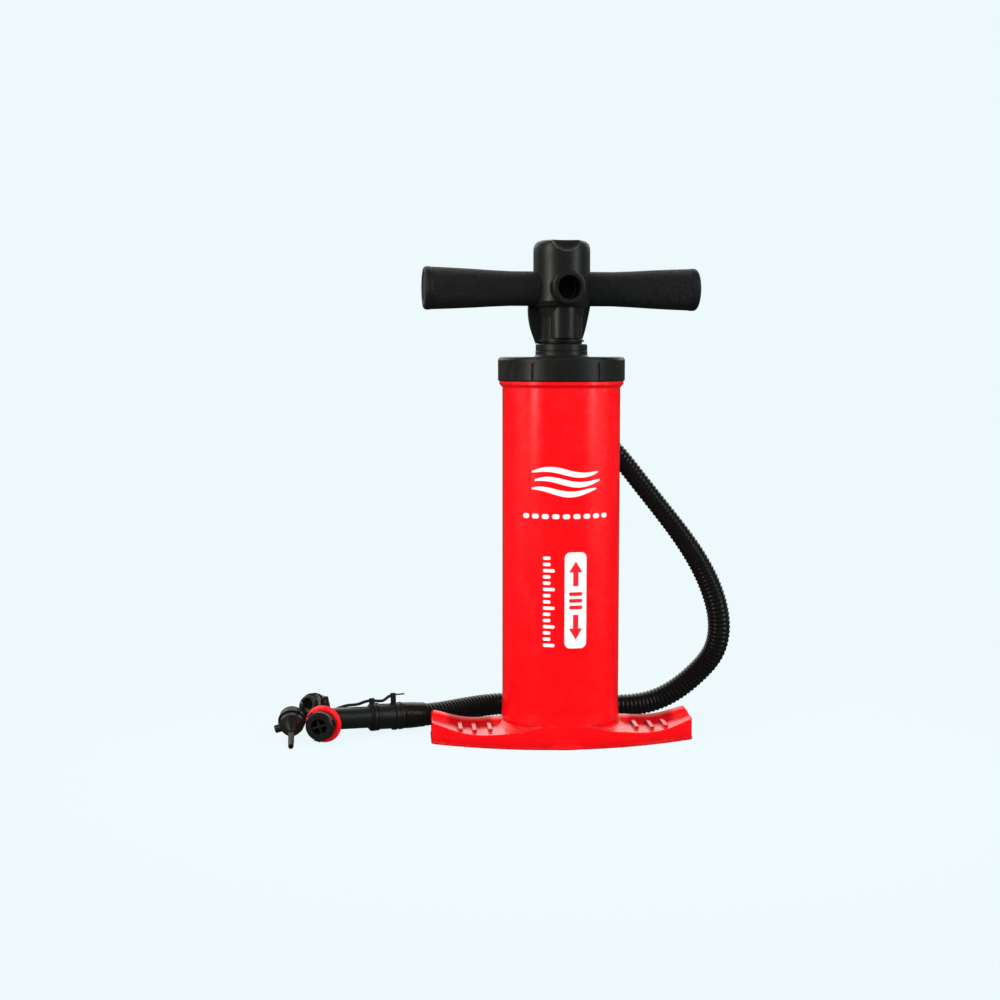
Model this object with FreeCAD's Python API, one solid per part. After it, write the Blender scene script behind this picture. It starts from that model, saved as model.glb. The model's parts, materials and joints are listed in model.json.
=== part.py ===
import FreeCAD, Part
import math
import os

# Double-acting upright hand pump with its hose laid round it and a set of nozzles, in mm.
# The ground is z = 0 and the barrel stands on +Z. Front is -Y, right is +X. The foot plates
# reach out along X, and the handle, pushed down, is turned a little about Z from them.
# The hose leaves the rear of the handle, drops on the right, runs behind the barrel
# along the ground and ends in its nozzle on the left.

Vector = FreeCAD.Vector
ORIGIN = Vector(0, 0, 0)
ALONG_X = Vector(1, 0, 0)
ALONG_Y = Vector(0, 1, 0)
UP = Vector(0, 0, 1)

# ---------------------------------------------------------------- driving dimensions
OVERALL_HEIGHT = 406.4      # ground to the top of the handle hub
FIT = 0.02                  # gap left between pieces that rest on each other
BARREL_R = 48.0
BARREL_BORE_R = 45.2
BARREL_FLOOR_Z = 6.0        # upper face of the floor
BARREL_TOP_Z = 308.5
FLANGE_R = 50.5             # collar under the cap
FLANGE_TOP_Z = 293.7
CAP_R = 51.6
CAP_BOTTOM_Z, CAP_TOP_Z = 293.9, 313.3
CAP_BOSS_R = 21.15
PLATE_REACH = 107.0         # foot plate tip from the axis
PLATE_REAR_Y = 17.0
ROD_R = 14.0
ROD_BORE_R = 12.0
WEB_THICK = 2.0             # partition in the rod and in the hub
ROD_BOTTOM_Z, ROD_TOP_Z = 30.0, 350.0
ROD_RUNNING_GAP = 0.05
ROD_PIN_Z, HUB_PIN_Z = 49.0, 337.0
PIN_HOLE_R = 2.0
PIN_R = 1.99
PISTON_Z = 14.0
PISTON_TOP_PLATE_Z = 40.0
PISTON_R = 44.2
SEAL_R = 45.14
VALVE_DISC_R = 9.0
VALVE_DISC_THICK = 1.5
VALVE_HOLE_R = 6.0
VALVE_POCKET_R = 9.6
VALVE_OFFSET = 27.0         # valve axis from the piston axis
GRIP_Z = 368.0              # height of the grip axis
GRIP_END = 112.6            # grip end from the pump axis
PORT_R = 9.6                # front air port
REAR_PORT_R = 10.1
PORT_DEPTH = 18.0
PASSAGE_R = 8.0             # from each port into the hub
PORT_FACE = 32.0            # port face from the axis
HANDLE_TURN = 5.3           # degrees about +Z, handle against foot plates
HOSE_TURN = -2.0            # degrees about +Z, laid-out hose
HOSE_R = 8.65               # upper hose
HOSE_LOW_R = 9.3            # lower run
HOSE_BORE_R = 6.5
HOSE_SPLIT_Z = 244.9
QUARTER_MID = 0.2929        # middle of a quarter arc, in from its corner, per unit radius


# ---------------------------------------------------------------- helpers
def turn(shape, degrees=HANDLE_TURN):
    """Copy of the shape turned about the pump axis, by default with the handle."""
    shape = shape.copy()
    shape.rotate(ORIGIN, UP, degrees)
    return shape


def turned_point(x, y, z, degrees=HOSE_TURN):
    """Point or direction turned about the pump axis, by default with the hose."""
    return FreeCAD.Rotation(UP, degrees).multVec(Vector(x, y, z))


def cylinder(radius, height, x=0, y=0, z=0, axis=UP):
    return Part.makeCylinder(radius, height, Vector(x, y, z), axis)


def tube(outer_r, inner_r, height, **place):
    return cylinder(outer_r, height, **place).cut(cylinder(inner_r, height, **place))


def box(left, right, front, rear, bottom, top):
    corner = Vector(left, front, bottom)
    return Part.makeBox(right - left, rear - front, top - bottom, corner)


def box_pair(near, far, front, rear, bottom, top):
    """The same box on the right and mirrored on the left."""
    return box(near, far, front, rear, bottom, top), box(-far, -near, front, rear, bottom, top)


def revolve(outline):
    """Closed (radius, z) outline turned once about +Z."""
    wire = Part.makePolygon([Vector(r, 0, z) for r, z in outline + outline[:1]])
    return Part.Face(wire).revolve(ORIGIN, UP, 360).Solids[0]


def placed(shape, point, direction):
    """Carries a shape built on +Z at the origin to the point, with +Z along the direction."""
    shape = shape.copy()
    placement = FreeCAD.Placement(point, FreeCAD.Rotation(UP, direction))
    shape.Placement = placement.multiply(shape.Placement)
    return shape


def lines(*points):
    return [Part.makeLine(start, finish) for start, finish in zip(points, points[1:])]


def arc(start, middle, finish):
    return Part.Arc(start, middle, finish).toShape()


def spline(points):
    curve = Part.BSplineCurve()
    curve.interpolate(points)
    return curve.toShape()


def extruded(edges, offset, travel):
    """Face bounded by the edges, moved by the offset, then extruded."""
    face = Part.Face(Part.Wire(edges))
    face.translate(offset)
    return face.extrude(travel)


def smoothed(stations):
    """The stations with a point added between each two, so that the line curves evenly."""
    padded = [stations[0] * 2 - stations[1]] + stations + [stations[-1] * 2 - stations[-2]]
    path = []
    for before, start, finish, after in zip(padded, padded[1:], padded[2:], padded[3:]):
        path += [start, (start + finish) * (9.0 / 16) - (before + after) * (1.0 / 16)]
    return path + [stations[-1]]


def rounded_line(points):
    """Wire of short straights with a tangent arc at each corner."""
    edges = []
    reached = points[0]
    for before, corner, after in zip(points, points[1:], points[2:]):
        way_in, way_out = corner - before, after - corner
        trim = 0.46 * min(way_in.Length, way_out.Length)
        way_in.normalize()
        way_out.normalize()
        cosine = way_in.dot(way_out)
        if cosine > 0.99999:  # straight on
            continue
        start, finish = corner - way_in * trim, corner + way_out * trim
        half_turn = math.acos(cosine) / 2
        radius = trim / math.tan(half_turn)
        inward = (way_out - way_in).normalize()
        middle = corner + inward * (radius / math.cos(half_turn) - radius)
        edges += [Part.makeLine(reached, start), arc(start, middle, finish)]
        reached = finish
    edges.append(Part.makeLine(reached, points[-1]))
    return Part.Wire(edges)


def swept(stations, radius, bore_r=None):
    """Round bar, or tube if bore_r is given, along a smooth line through the stations."""
    path = smoothed(stations)
    heading = (path[1] - path[0]).normalize()

    def rim(rim_r):
        return Part.Wire([Part.makeCircle(rim_r, path[0], heading)])

    if bore_r is None:
        face = Part.Face(rim(radius))
    else:
        face = Part.makeFace([rim(radius), rim(bore_r)], "Part::FaceMakerBullseye")
    pipe = rounded_line(path).makePipe(face)
    return pipe.Solids[0] if pipe.Solids else pipe


def largest_solid(shape):
    return max(shape.Solids, key=lambda part: part.Volume)


def export(name, shape):
    shape.exportStep("parts/" + name + ".step")


def save(name, shape):
    """Writes one clean solid."""
    # Merging split faces can fail on a sculpted piece, which then keeps its faces.
    try:
        merged = shape.removeSplitter()
        if merged.isValid() and abs(merged.Volume - shape.Volume) < 1e-4 * shape.Volume:
            shape = merged
    except Exception:
        pass
    if len(shape.Solids) == 1:
        shape = shape.Solids[0]
    if not shape.isValid():
        shape = shape.copy()
        shape.fix(0.01, 0.01, 0.01)
    export(name, shape)


os.makedirs("parts", exist_ok=True)

# ---------------------------------------------------------------- barrel with its foot plates
# x, height of the foot plate's walking surface
FLOOR_HEIGHTS = [
    (0, 18.0), (18, 18.0), (25, 16.9), (32, 14.7), (40, 12.9), (48, 12.0),
    (60, 10.6), (70, 10.0), (80, 10.6), (88, 12.0), (96, 14.2), (107, 17.4)]
FLOOR_STATIONS = (18, 25, 32, 40, 48, 54, 60, 65, 70, 75, 80, 88, 96, PLATE_REACH)
# x, top of the spine's arched section
SPINE_TOPS = [(40.0, 15.8), (58, 15.5), (72, 15.0), (86, 16.8), (96, 19.6), (PLATE_REACH, 22.2)]
FRONT_CORNER_R, REAR_CORNER_R = 5.0, 7.0
FRONT_STATIONS = (0, 20, 40, 55, 72.6, 88, PLATE_REACH - FRONT_CORNER_R)
RIB_STATIONS = (60.0, 72.6, 84.0)


def floor_height(x):
    for (x0, height0), (x1, height1) in zip(FLOOR_HEIGHTS, FLOOR_HEIGHTS[1:]):
        if x <= x1:
            return height0 + (height1 - height0) * (x - x0) / (x1 - x0)


def front_y(x):
    """Curved front edge of the foot plate."""
    return -48.5 + x * x / 2 / 214.0


def plate_plan(height, front_middle, grow_x=0.0, grow_y=0.0, rear_shift=(0.0, 0.0)):
    """Right foot plate's plan, extruded up from the ground.

    front_middle is the middle of the front corner's arc, from the tip in x and from the
    end of the front edge in y. grow_x and grow_y widen the tip and the two long edges,
    and rear_shift moves the middle of the rear corner's arc.
    """
    tip_x = PLATE_REACH + grow_x
    rear_y = PLATE_REAR_Y + grow_y
    front = [Vector(x, front_y(x) - grow_y, 0) for x in FRONT_STATIONS]
    front_middle = Vector(PLATE_REACH + front_middle[0],
                          front_y(FRONT_STATIONS[-1]) + front_middle[1], 0)
    tip_front = Vector(tip_x, front_y(PLATE_REACH) + FRONT_CORNER_R, 0)
    tip_rear = Vector(tip_x, PLATE_REAR_Y - REAR_CORNER_R, 0)
    rear_middle = Vector(PLATE_REACH - REAR_CORNER_R * QUARTER_MID + rear_shift[0],
                         PLATE_REAR_Y - REAR_CORNER_R * QUARTER_MID + rear_shift[1], 0)
    rear_tip = Vector(PLATE_REACH - REAR_CORNER_R, rear_y, 0)
    edges = [spline(front), arc(front[-1], front_middle, tip_front)]
    edges += lines(tip_front, tip_rear)
    edges.append(arc(tip_rear, rear_middle, rear_tip))
    edges += lines(rear_tip, Vector(0, rear_y, 0), front[0])
    return extruded(edges, ORIGIN, Vector(0, 0, height))


def across_plate(edges):
    """Outline in the XZ plane, extruded across the foot plate."""
    return extruded(edges, Vector(0, -60, 0), Vector(0, 100, 0))


def plate_surface():
    """Everything under the walking surface."""
    start, finish = Vector(-1, 0, 18.0), Vector(PLATE_REACH + 6, 0, 19.4)
    top = [start] + [Vector(x, 0, floor_height(x)) for x in FLOOR_STATIONS] + [finish]
    sides = lines(finish, Vector(finish.x, 0, 0), Vector(start.x, 0, 0), start)
    return across_plate([spline(top)] + sides)


def plate_spine():
    """Arched spine along the rear."""
    half_width, centre_y, foot_z, steps = 12.0, 3.2, 4.0, 8
    sections = []
    for x, top_z in SPINE_TOPS:
        points = []
        for k in range(steps + 1):
            angle = math.pi * k / steps
            rise = (top_z - foot_z) * math.sin(angle) ** 0.62 if 0 < k < steps else 0
            points.append(Vector(x, centre_y - half_width * math.cos(angle), foot_z + rise))
        sections.append(Part.Wire([spline(points)] + lines(points[-1], points[0])))
    return Part.makeLoft(sections, True, False)


def barrel_skirt():
    """Ring with a hollow curve that sweeps the plate up into the barrel."""
    outer_r, curve_r = 55.0, 7.0
    outline = [(47.9, 6.0), (outer_r, 6.0)]
    for k in range(7):
        angle = math.pi / 2 * k / 6
        outline.append((outer_r - curve_r * math.sin(angle), 18.4 - curve_r * math.cos(angle)))
    return revolve(outline)


def tip_rounding():
    """Envelope that rounds the upper edge at the tip."""
    tip_r, top_z, inner_x = 6.5, 22.6, -2
    foot = [Vector(inner_x, 0, -1), Vector(PLATE_REACH + 3, 0, -1),
            Vector(PLATE_REACH + 3, 0, 2.0), Vector(PLATE_REACH, 0, 8.0),
            Vector(PLATE_REACH, 0, top_z - tip_r)]
    middle = Vector(PLATE_REACH - tip_r * QUARTER_MID, 0, top_z - tip_r * QUARTER_MID)
    crest = Vector(PLATE_REACH - tip_r, 0, top_z)
    edges = lines(*foot) + [arc(foot[-1], middle, crest)]
    return across_plate(edges + lines(crest, Vector(inner_x, 0, top_z), foot[0]))


def plate_hollow():
    """Space below the plate, with two webs left standing in it."""
    hollow = box(49.0, PLATE_REACH - 3.2, -16.0, PLATE_REAR_Y - 3.2, -1, 6.4)
    hollow = hollow.fuse(box(49.0, 88.0, -26.0, -12.0, -1, 6.4))
    for x in (65.0, 82.0):
        hollow = hollow.cut(box(x, x + 2.0, -40, 20, -1, 7))
    return hollow


def foot_plate():
    """Right foot plate: curved floor, spine, three ribs, ground lip, hollow below."""
    plan = plate_plan(26, front_middle=(-1.35, 1.9))
    plate = plan.common(plate_surface())
    plate = plate.fuse(plate_spine().common(plan))
    plate = plate.fuse(barrel_skirt().common(plan))
    plate = plate.common(tip_rounding())
    rib_half, rib_front, rib_z = 1.65, -27.0, 4.0
    for x in RIB_STATIONS:
        top = floor_height(x) + 2.5
        rib = box(x - rib_half, x + rib_half, rib_front, 2.0, rib_z, top)
        rib = rib.fuse(cylinder(rib_half, top - rib_z, x=x, y=rib_front, z=rib_z))
        plate = plate.fuse(rib)
    lip = plate_plan(1.6, front_middle=(-1.0, 1.2), grow_x=0.5, grow_y=1.2,
                     rear_shift=(0.5, 0.75))
    return plate.fuse(lip).cut(plate_hollow()).removeSplitter()


def barrel_base():
    base = revolve([
        (0, 3.0), (BARREL_BORE_R - 1.5, 3.0), (BARREL_BORE_R - 1.5, 0), (BARREL_R + 2.4, 0),
        (BARREL_R + 2.4, 1.6), (BARREL_R + 1.6, 2.2), (BARREL_R + 0.8, 8.0),
        (BARREL_R + 0.7, 18.6), (BARREL_R, 27.0), (BARREL_R, 288.6), (49.4, 290.2),
        (FLANGE_R, 291.0), (FLANGE_R, FLANGE_TOP_Z), (49.0, FLANGE_TOP_Z),
        (49.0, BARREL_TOP_Z), (BARREL_BORE_R, BARREL_TOP_Z),
        (BARREL_BORE_R, BARREL_FLOOR_Z + 1.0), (BARREL_BORE_R - 1.0, BARREL_FLOOR_Z),
        (0, BARREL_FLOOR_Z)])
    right_plate = foot_plate()
    for plate in (right_plate, right_plate.mirror(ORIGIN, ALONG_X)):
        base = base.fuse(plate.cut(cylinder(BARREL_BORE_R + 1.0, 60, z=-1)))
    # cross webs and their hub in the hollow under the floor
    web_reach, web_height = BARREL_BORE_R - 1, 3.4
    for angle in (0, 45, 90, 135):
        base = base.fuse(turn(box(-web_reach, web_reach, -1.0, 1.0, 0.0, web_height), angle))
    return base.fuse(cylinder(8.0, web_height))


save("barrel_base", barrel_base())

# ---------------------------------------------------------------- cap, gasket, gland, bumper
CAP_GROOVE_ANGLES = (-32.5, 28.5, -56.0, 52.0, 147.5, -151.5, 124.0, -128.0)


def cap():
    """Cap with a central boss and fine upright grooves round its rim."""
    shape = revolve([
        (49.25, CAP_BOTTOM_Z), (CAP_R - 0.5, CAP_BOTTOM_Z), (CAP_R, CAP_BOTTOM_Z + 0.6),
        (CAP_R, CAP_TOP_Z - 2.6), (CAP_R - 0.8, CAP_TOP_Z - 0.8), (CAP_R - 2.6, CAP_TOP_Z),
        (CAP_BOSS_R + 1.6, CAP_TOP_Z), (CAP_BOSS_R + 0.5, CAP_TOP_Z + 0.5),
        (CAP_BOSS_R, CAP_TOP_Z + 1.6), (CAP_BOSS_R, 317.75), (CAP_BOSS_R - 0.25, 318.0),
        (17.55, 318.0), (17.55, 306.0), (21.0, 306.0), (21.0, 309.5), (49.25, 309.5)])
    groove = cylinder(0.9, 15.0, y=-CAP_R - 0.1, z=CAP_BOTTOM_Z - 1.0)
    for angle in CAP_GROOVE_ANGLES:
        shape = shape.cut(turn(groove, angle))
    return shape


save("cap", cap())
save("cap_gasket", tube(BARREL_R, 45.5, 0.96, z=BARREL_TOP_Z + FIT))
save("gland_ring", revolve([
    (14.6, 318.04), (20.8, 318.04), (21.0, 318.25), (21.0, 323.0), (20.4, 323.6),
    (17.0, 323.6), (16.4, 322.6), (16.4, 321.2), (14.6, 321.2)]))
save("rod_wiper", revolve([
    (14.05, 321.3), (16.3, 321.3), (16.3, 322.5), (14.9, 323.3), (14.05, 323.3)]))
save("floor_bumper", tube(30.0, 12.0, 2.4, z=BARREL_FLOOR_Z + FIT))


# ---------------------------------------------------------------- rod, guide bush, cross pins
def pin_hole(z):
    return cylinder(PIN_HOLE_R, 60, x=-30, z=z, axis=ALONG_X)


def rod():
    """Tube split into two channels by a web."""
    length = ROD_TOP_Z - ROD_BOTTOM_Z
    channels = cylinder(ROD_BORE_R, length + 2, z=ROD_BOTTOM_Z - 1)
    channels = channels.cut(box(-ROD_BORE_R - 1, ROD_BORE_R + 1, -WEB_THICK / 2, WEB_THICK / 2,
                                ROD_BOTTOM_Z - 2, ROD_TOP_Z + 2))
    shape = cylinder(ROD_R, length, z=ROD_BOTTOM_Z).cut(channels)
    # shallow keyways that stop the rod turning in its guide
    for keyway in box_pair(13.2, 15, -1.5, 1.5, 52.5, 325.0):
        shape = shape.cut(keyway)
    for z in (ROD_PIN_Z, HUB_PIN_Z):
        shape = shape.cut(pin_hole(z))
    return shape


def rod_guide_bush():
    bottom_z, height, barrel_r = 304.0, 13.9, 17.5
    bush = tube(barrel_r, ROD_R + ROD_RUNNING_GAP, height, z=bottom_z)
    bush = bush.fuse(tube(20.6, barrel_r, 1.9, z=bottom_z))
    for key in box_pair(13.26, 14.6, -1.44, 1.44, bottom_z, bottom_z + height):
        bush = bush.fuse(key)
    return bush


save("rod", turn(rod()))
save("rod_guide_bush", turn(rod_guide_bush()))
for name, half_length, z in (("rod_pin", 16.8, ROD_PIN_Z), ("hub_pin", 16.6, HUB_PIN_Z)):
    save(name, turn(cylinder(PIN_R, 2 * half_length, x=-half_length, z=z, axis=ALONG_X)))

# ---------------------------------------------------------------- piston and valves
SCREW_CIRCLE_R = 31.5
SCREW_PLACES = [(SCREW_CIRCLE_R * math.cos(math.radians(angle)),
                 SCREW_CIRCLE_R * math.sin(math.radians(angle))) for angle in (30, 150, 210, 330)]
# name, y, pocket bottom, pocket height, whether the disc hangs under its seat, cage bottom
VALVES = [
    ("lower_intake_valve", -VALVE_OFFSET, PISTON_Z - 1.0, 5.5, True, 14.0),
    ("lower_outlet_valve", VALVE_OFFSET, PISTON_Z + 1.5, 5.0, False, 19.2),
    ("upper_intake_valve", -VALVE_OFFSET, PISTON_TOP_PLATE_Z + 1.5, 5.0, False, 45.2),
    ("upper_outlet_valve", VALVE_OFFSET, PISTON_TOP_PLATE_Z - 1.0, 5.5, True, 40.0)]
LOWER_VALVES, UPPER_VALVES = VALVES[:2], VALVES[2:]


def cut_valve_seats(plate, plate_z, valves):
    """Air holes through a piston plate, then the pocket of each valve."""
    for _, y, *_ in valves:
        plate = plate.cut(cylinder(VALVE_HOLE_R, 8, y=y, z=plate_z - 1))
    for _, y, pocket_z, pocket_height, *_ in valves:
        plate = plate.cut(cylinder(VALVE_POCKET_R, pocket_height, y=y, z=pocket_z))
    return plate


def piston_body():
    """Lower plate, wall with its seal groove, divider and screw posts."""
    groove_r = 41.9
    body = cylinder(PISTON_R, 6.0, z=PISTON_Z)
    body = body.fuse(tube(PISTON_R, 41.0, 26.0, z=PISTON_Z))
    body = body.fuse(box(-41.5, 41.5, -1.0, 1.0, PISTON_Z + 5, PISTON_TOP_PLATE_Z - FIT))
    body = body.cut(tube(50.0, groove_r, 8.04, z=25.98))
    body = body.fuse(tube(groove_r, 39.4, 13.0, z=23.5))
    for x, y in SCREW_PLACES:
        body = body.fuse(cylinder(4.0, 20.0, x, y, PISTON_Z + 5.9))
    body = body.cut(cylinder(ROD_R + 0.1, 12.0, z=ROD_BOTTOM_Z - 0.1))
    for x, y in SCREW_PLACES:
        body = body.cut(cylinder(1.5, 17.0, x, y, 26.0))
    return cut_valve_seats(body, PISTON_Z, LOWER_VALVES)


def piston_top_plate():
    plate = cylinder(PISTON_R, 6.0, z=PISTON_TOP_PLATE_Z)
    plate = plate.fuse(cylinder(17.0, 10.0, z=42.0))
    plate = plate.cut(cylinder(ROD_R + FIT, 20.0, z=PISTON_TOP_PLATE_Z - 1))
    plate = cut_valve_seats(plate, PISTON_TOP_PLATE_Z, UPPER_VALVES)
    for x, y in SCREW_PLACES:
        plate = plate.cut(cylinder(1.7, 8, x, y, PISTON_TOP_PLATE_Z - 1))
        plate = plate.cut(cylinder(3.4, 4.0, x, y, 43.6))
    return plate.cut(pin_hole(ROD_PIN_Z))


def piston_screw(x, y):
    """Screw with a cross recess in its head."""
    screw = cylinder(1.49, 15.0, x, y, 28.6).fuse(cylinder(3.2, 2.0, x, y, 43.6 + FIT))
    for half_x, half_y in ((2.4, 0.4), (0.4, 2.4)):
        screw = screw.cut(box(x - half_x, x + half_x, y - half_y, y + half_y, 44.8, 46))
    return screw.removeSplitter()


def valve_cage(y, z):
    """Ring with a cross that stops a valve disc lifting too far."""
    thickness = 0.8
    ring = tube(9.58, 7.6, thickness, y=y, z=z)
    for angle in (45.0, 135.0):
        bar = turn(box(-8.0, 8.0, -0.8, 0.8, z, z + thickness), angle)
        bar.translate(Vector(0, y, 0))
        ring = ring.fuse(bar)
    return turn(ring.removeSplitter()).Solids[0]


def valve_disc(y, pocket_z, pocket_height, hangs):
    z = pocket_z + FIT
    if hangs:
        z = pocket_z + pocket_height - VALVE_DISC_THICK - FIT
    return cylinder(VALVE_DISC_R, VALVE_DISC_THICK, y=y, z=z)


save("piston_body", turn(piston_body()))
save("piston_top_plate", turn(piston_top_plate()))
save("piston_seal", revolve([
    (42.0, 26.05), (SEAL_R - 0.5, 26.05), (SEAL_R, 26.9), (SEAL_R, 33.1),
    (SEAL_R - 0.5, 33.95), (42.0, 33.95), (42.0, 32.0), (43.2, 31.0), (43.2, 29.0),
    (42.0, 28.0)]))
screws = [part for x, y in SCREW_PLACES for part in piston_screw(x, y).Solids]
export("piston_screws", turn(Part.makeCompound(screws)))
export("valve_cages", Part.makeCompound([valve_cage(valve[1], valve[5]) for valve in VALVES]))
for name, *disc_place, _ in VALVES:
    save(name, turn(valve_disc(*disc_place)))

# ---------------------------------------------------------------- handle hub
# (x, z) edge of each side fin, bottom to top, by side
FIN_EDGES = {
    1: [(17.4, 324.0), (19.7, 330.0), (22.0, 338.0), (23.9, 347.0), (25.4, 356.0),
        (24.0, 364.0)],
    -1: [(19.4, 324.0), (21.6, 330.0), (24.2, 338.0), (25.6, 347.0), (25.6, 356.0),
         (24.0, 364.0)]}


def side_fin(side):
    """Fin behind the centre plane."""
    edge = [Vector(side * x, 0, z) for x, z in FIN_EDGES[side]]
    inner = lines(edge[-1], Vector(0, 0, edge[-1].z), Vector(0, 0, edge[0].z), edge[0])
    return extruded([spline(edge)] + inner, Vector(0, 6.5, 0), Vector(0, 5.5, 0))


def port_bosses():
    """Front and rear port bosses as one bar with rounded rims."""
    bar = cylinder(13.4, 2 * PORT_FACE, y=-PORT_FACE, z=GRIP_Z, axis=ALONG_Y)
    rims = [edge for edge in bar.Edges if edge.Curve.TypeId == "Part::GeomCircle"]
    return bar.makeFillet(1.6, rims)


def hub_outside():
    top = OVERALL_HEIGHT
    hub = revolve([
        (0, 352.0), (17.0, 352.0), (21.0, 353.6), (23.0, 357.5), (23.0, top - 9.0),
        (22.8, top - 5.6), (22.0, top - 2.9), (20.2, top - 1.0), (17.4, top), (0, top)])
    # column from the rod socket up into the drum, with a low collar near its foot
    hub = hub.fuse(revolve([
        (0, 323.8), (16.3, 323.8), (16.8, 324.4), (17.0, 345.0), (20.0, 356.0), (0, 356.0)]))
    hub = hub.fuse(cylinder(18.2, 1.6, z=325.4))
    # swellings below the front and rear ports
    for y, radius in ((-7.5, 12.4), (7.5, 13.0)):
        hub = hub.fuse(cylinder(radius, 40.0, y=y, z=328.0))
    for side in (1, -1):
        hub = hub.fuse(side_fin(side))
    # arms into the grips
    hub = hub.fuse(cylinder(10.0, 216.0, x=-108.0, z=GRIP_Z, axis=ALONG_X))
    return hub.fuse(port_bosses())


def handle_hub():
    cavity = cylinder(12.0, 42.0, z=349.9).fuse(cylinder(12.0, 3.0, z=347.0))
    rod_socket = cylinder(ROD_R + FIT, 27.0, z=323.0)
    hub = hub_outside().cut(cavity).cut(rod_socket)
    for side, radius in ((-1, PORT_R), (1, REAR_PORT_R)):
        hub = hub.cut(cylinder(radius, PORT_DEPTH + 2.0, y=side * (PORT_FACE + 2.0), z=GRIP_Z,
                               axis=Vector(0, -side, 0)))
    hub = hub.cut(cylinder(PASSAGE_R, 2 * PORT_FACE, y=-PORT_FACE, z=GRIP_Z, axis=ALONG_Y))
    # hollow arms
    for side in (1, -1):
        hub = hub.cut(cylinder(7.0, 82.0, x=side * 30.0, z=GRIP_Z, axis=Vector(side, 0, 0)))
    # thumb scoops at the top, front and rear
    for side in (-1, 1):
        hub = hub.cut(Part.makeSphere(15.0, Vector(0, side * 24.5, OVERALL_HEIGHT + 5.0)))
    return hub.cut(pin_hole(HUB_PIN_Z))


save("handle_hub", turn(handle_hub()))
save("hub_partition", turn(box(-11.95, 11.95, -WEB_THICK / 2, WEB_THICK / 2, 350.05, 391.9)))


# ---------------------------------------------------------------- grips and end plugs
def grip(outward):
    shape = revolve([
        (10.02, 17.0), (13.9, 17.0), (13.9, 42.0), (14.6, 58.0), (15.5, 73.0), (16.4, 92.0),
        (16.9, GRIP_END - 6.5), (17.1, GRIP_END - 6.0), (17.3, GRIP_END - 1.6),
        (16.2, GRIP_END - 0.2), (15.0, GRIP_END), (10.02, GRIP_END)])
    shape = placed(shape, Vector(0, 0, GRIP_Z), outward)
    # notched round the drum, the column and the fins
    shape = shape.cut(cylinder(23.05, 60.0, z=350.0)).cut(cylinder(21.0, 20.0, z=340.0))
    shape = shape.cut(box(-26.2, 26.2, 6.0, 12.6, 320.0, 364.6))
    return largest_solid(shape)


def end_plug(side, outward):
    def disc(radius, length, start):
        return cylinder(radius, length, x=side * start, z=GRIP_Z, axis=outward)

    return disc(9.98, 4.2, 108.1).fuse(disc(6.98, 8.0, 100.0).fuse(disc(6.98, 1.0, 107.5)))


for side, name in ((1, "right"), (-1, "left")):
    outward = Vector(side, 0, 0)
    save(name + "_grip", turn(grip(outward)))
    save(name + "_end_plug", turn(end_plug(side, outward)))

# ---------------------------------------------------------------- hose connector in the rear port
ELBOW_Y = 64.0              # downward leg, from the axis
ELBOW_BEND_R = 14.0
ELBOW_START_Y = 20.0
ELBOW_BORE_R = 6.6
O_RING_SEAT_R = 8.35


def elbow_pipe(radius):
    """Bar that runs to the rear and bends down."""
    start = Vector(0, ELBOW_START_Y, GRIP_Z)
    bend_start = Vector(0, ELBOW_Y - ELBOW_BEND_R, GRIP_Z)
    bend_middle = Vector(0, ELBOW_Y - ELBOW_BEND_R * QUARTER_MID,
                         GRIP_Z - ELBOW_BEND_R * QUARTER_MID)
    bend_end = Vector(0, ELBOW_Y, GRIP_Z - ELBOW_BEND_R)
    path = Part.Wire(lines(start, bend_start) + [arc(bend_start, bend_middle, bend_end)]
                     + lines(bend_end, Vector(0, ELBOW_Y, 340.0)))
    rim = Part.Wire([Part.makeCircle(radius, start, ALONG_Y)])
    return path.makePipeShell([rim], True, False)


def hose_connector():
    shape = elbow_pipe(9.55)
    shape = shape.fuse(cylinder(14.0, 5.0, y=PORT_FACE + 0.05, z=GRIP_Z, axis=ALONG_Y))
    shape = shape.fuse(cylinder(REAR_PORT_R - 0.05, PORT_FACE + 1.0 - ELBOW_START_Y,
                                y=ELBOW_START_Y, z=GRIP_Z, axis=ALONG_Y))
    shape = shape.fuse(cylinder(11.0, 14.0, y=ELBOW_Y, z=338.0))
    shape = shape.cut(elbow_pipe(ELBOW_BORE_R))
    shape = shape.cut(cylinder(ELBOW_BORE_R, 30.0, y=ELBOW_Y, z=330.0))
    # hose socket, then the O-ring groove
    shape = shape.cut(cylinder(HOSE_R + 0.35, 10.0, y=ELBOW_Y, z=337.0))
    return shape.cut(tube(13.0, O_RING_SEAT_R, 2.4, y=26.0, z=GRIP_Z, axis=ALONG_Y))


save("hose_connector", turn(hose_connector()))
save("connector_o_ring", turn(tube(REAR_PORT_R - 0.03, O_RING_SEAT_R + FIT, 2.2,
                                   y=26.1, z=GRIP_Z, axis=ALONG_Y)))

# ---------------------------------------------------------------- hose
# (x, y, z) of the hose centre line below the connector, before the hose turn
HOSE_LAY = [
    (-5.2, 63.9, 317.0), (0.8, 64.6, 300.0), (9.8, 65.0, 281.0), (27.8, 63.0, 256.5),
    (50.0, 54.0, 233.2), (70.8, 46.5, 207.3), (92.8, 41.0, 179.2), (113.4, 37.7, 151.0),
    (129.6, 36.4, 121.4), (138.6, 37.2, 89.0), (136.0, 42.4, 62.6), (124.2, 49.9, 43.2),
    (104.8, 56.0, 24.9), (84.0, 59.8, 14.0), (61.0, 60.5, 10.4), (30.0, 65.0, 9.6),
    (0.0, 71.0, 9.6), (-25.0, 74.4, 9.6), (-47.5, 73.4, 9.6), (-74.0, 60.2, 9.6),
    (-97.0, 42.6, 9.7), (-113.5, 31.2, 10.6), (-126.6, 25.4, 11.7)]
HALF_SPLIT_GAP = 0.6

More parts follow.
